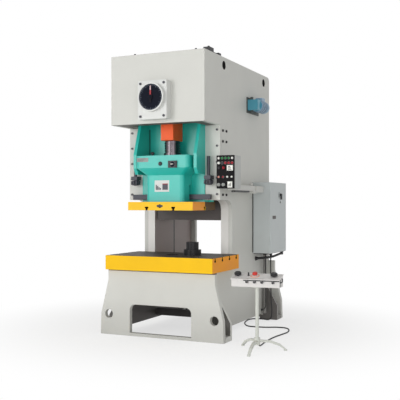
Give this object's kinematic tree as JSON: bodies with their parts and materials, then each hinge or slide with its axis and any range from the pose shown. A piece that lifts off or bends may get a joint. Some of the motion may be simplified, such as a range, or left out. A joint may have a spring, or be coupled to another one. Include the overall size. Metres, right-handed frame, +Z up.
{
  "type": "c-frame press",
  "caption": "Floor-standing C-frame power press with a guided slide, slotted bolster, crank dial, side cabinet, swing-arm control box and a two-hand control stand on a cord.",
  "frame": {"origin": "on the floor at the centre of the four foundation bolt holes in the feet", "axes": "+Z up, +X to the right as seen from the front, +Y to the back"},
  "size_m": [2.3736, 2.6072, 3.395],
  "materials": {
    "ivory_paint": "satin",
    "dark_paint": "matte",
    "yellow_paint": "satin",
    "green_paint": "satin",
    "orange_paint": "satin",
    "blue_paint": "satin",
    "cabinet_paint": "satin",
    "stand_paint": "satin",
    "machined_steel": "satin",
    "black_steel": "satin",
    "dial_white": "satin",
    "dial_red": "satin",
    "black_plastic": "matte",
    "grey_plastic": "matte",
    "red_plastic": "gloss",
    "white_plastic": "gloss",
    "black_rubber": "matte"
  },
  "bodies": {
    "frame": {"side_plate_left": "ivory_paint", "side_plate_right": "ivory_paint", "crown_front_plate": "ivory_paint", "crown_roof": "ivory_paint", "columns": "ivory_paint", "rear_posts": "ivory_paint", "base_front_plate": "ivory_paint", "base_rear_plate": "ivory_paint", "front_feet": "ivory_paint", "gib_left": "ivory_paint", "gib_right": "ivory_paint", "arm_bracket": "ivory_paint", "rear_cover": "ivory_paint", "rear_feet": "dark_paint", "cross_beam": "dark_paint", "crown_floor": "dark_paint", "bearing_plates": "dark_paint", "bed_plate": "dark_paint", "base_tie": "dark_paint", "pump_bracket": "dark_paint", "stop_brackets": "dark_paint", "bolster": "yellow_paint", "pump_motor": "blue_paint", "main_motor": "blue_paint", "cabinet": "cabinet_paint", "stand": "stand_paint", "stand_console": "stand_paint", "die_block": "black_steel", "gib_bolts": "black_steel", "dial_plate": "dial_white", "air_valve": "black_plastic", "conduit": "black_plastic", "cabinet_gear": "grey_plastic", "cord": "black_rubber", "v_belts": "black_rubber"},
    "slide": {"slide": "green_paint", "slide_plate": "yellow_paint", "connecting_rod": "orange_paint", "adjusting_screw": "machined_steel"},
    "knockout": {"knockout_bar": "black_steel"},
    "crank": {"crankshaft": "machined_steel", "dial_pointer": "dial_red"},
    "flywheel": {"flywheel": "machined_steel"},
    "pulley": {"motor_pulley": "machined_steel"},
    "stop_left": {"stop_screw_left": "black_steel"},
    "stop_right": {"stop_screw_right": "black_steel"},
    "arm": {"control_arm": "ivory_paint", "control_box": "black_plastic"},
    "door": {"cabinet_door": "cabinet_paint"},
    "handle": {"door_handle": "black_plastic"},
    "palm_left": {"palm_button_left": "black_plastic"},
    "palm_right": {"palm_button_right": "black_plastic"},
    "stop_button": {"stand_stop": "red_plastic"},
    "button_1": {"panel_button_1": "white_plastic"},
    "button_2": {"panel_button_2": "black_plastic"},
    "button_3": {"panel_button_3": "red_plastic"},
    "button_4": {"panel_button_4": "red_plastic"},
    "button_5": {"panel_button_5": "red_plastic"},
    "selector_1": {"selector_1": "black_plastic"},
    "selector_2": {"selector_2": "red_plastic"}
  },
  "joints": [
    {"name": "slide_stroke", "type": "slide", "parent": "frame", "child": "slide", "axis": [0, 0, 1], "range_m": [-0.2, 0]},
    {"name": "crank_turn", "type": "hinge", "parent": "frame", "child": "crank", "pos_m": [0, -0.7155, 2.788], "axis": [0, 1, 0], "range_deg": [-180.5, 0.5]},
    {"name": "flywheel_spin", "type": "hinge", "parent": "frame", "child": "flywheel", "pos_m": [0, 0.6245, 2.788], "axis": [0, 1, 0], "continuous": true},
    {"name": "pulley_spin", "type": "hinge", "parent": "frame", "child": "pulley", "pos_m": [0, 0.6245, 1.96], "axis": [0, 1, 0], "continuous": true},
    {"name": "knockout_lift", "type": "slide", "parent": "slide", "child": "knockout", "axis": [0, 0, 1], "range_m": [0, 0.1]},
    {"name": "stop_left_feed", "type": "slide", "parent": "frame", "child": "stop_left", "axis": [0, 0, 1], "range_m": [-0.1, 0]},
    {"name": "stop_right_feed", "type": "slide", "parent": "frame", "child": "stop_right", "axis": [0, 0, 1], "range_m": [-0.1, 0]},
    {"name": "arm_swing", "type": "hinge", "parent": "frame", "child": "arm", "pos_m": [0.735, 0.0265, 1.763], "axis": [0, 0, 1], "range_deg": [0, 90]},
    {"name": "door_swing", "type": "hinge", "parent": "frame", "child": "door", "pos_m": [0.855, 0.3925, 1.387], "axis": [0, 0, -1], "range_deg": [0, 100]},
    {"name": "handle_turn", "type": "hinge", "parent": "door", "child": "handle", "pos_m": [0.86, 0.7995, 1.69], "axis": [1, 0, 0], "range_deg": [0, 90]},
    {"name": "palm_left_press", "type": "slide", "parent": "frame", "child": "palm_left", "axis": [-0.0203, 0.258, -0.9659], "range_m": [0, 0.008], "stiffness_N_per_m": 600, "springref_m": -0.012},
    {"name": "palm_right_press", "type": "slide", "parent": "frame", "child": "palm_right", "axis": [-0.0203, 0.258, -0.9659], "range_m": [0, 0.008], "stiffness_N_per_m": 600, "springref_m": -0.012},
    {"name": "stop_press", "type": "slide", "parent": "frame", "child": "stop_button", "axis": [-0.0203, 0.258, -0.9659], "range_m": [0, 0.005], "stiffness_N_per_m": 600, "springref_m": -0.008},
    {"name": "button_1_press", "type": "slide", "parent": "arm", "child": "button_1", "axis": [0, 1, 0], "range_m": [0, 0.004], "stiffness_N_per_m": 400, "springref_m": -0.004},
    {"name": "button_2_press", "type": "slide", "parent": "arm", "child": "button_2", "axis": [0, 1, 0], "range_m": [0, 0.004], "stiffness_N_per_m": 400, "springref_m": -0.004},
    {"name": "button_3_press", "type": "slide", "parent": "arm", "child": "button_3", "axis": [0, 1, 0], "range_m": [0, 0.004], "stiffness_N_per_m": 400, "springref_m": -0.004},
    {"name": "button_4_press", "type": "slide", "parent": "arm", "child": "button_4", "axis": [0, 1, 0], "range_m": [0, 0.004], "stiffness_N_per_m": 400, "springref_m": -0.004},
    {"name": "button_5_press", "type": "slide", "parent": "arm", "child": "button_5", "axis": [0, 1, 0], "range_m": [0, 0.004], "stiffness_N_per_m": 400, "springref_m": -0.004},
    {"name": "selector_1_turn", "type": "hinge", "parent": "arm", "child": "selector_1", "pos_m": [0.65405, -0.8255, 1.986], "axis": [0, 1, 0], "range_deg": [-45, 45]},
    {"name": "selector_2_turn", "type": "hinge", "parent": "arm", "child": "selector_2", "pos_m": [0.7108, -0.8255, 1.986], "axis": [0, 1, 0], "range_deg": [-45, 45]}
  ],
  "couplings": [
    {"joint": "crank_turn", "follows": "slide_stroke", "rad_per_m": 15.708},
    {"joint": "pulley_spin", "follows": "flywheel_spin", "ratio": 5.1098}
  ]
}
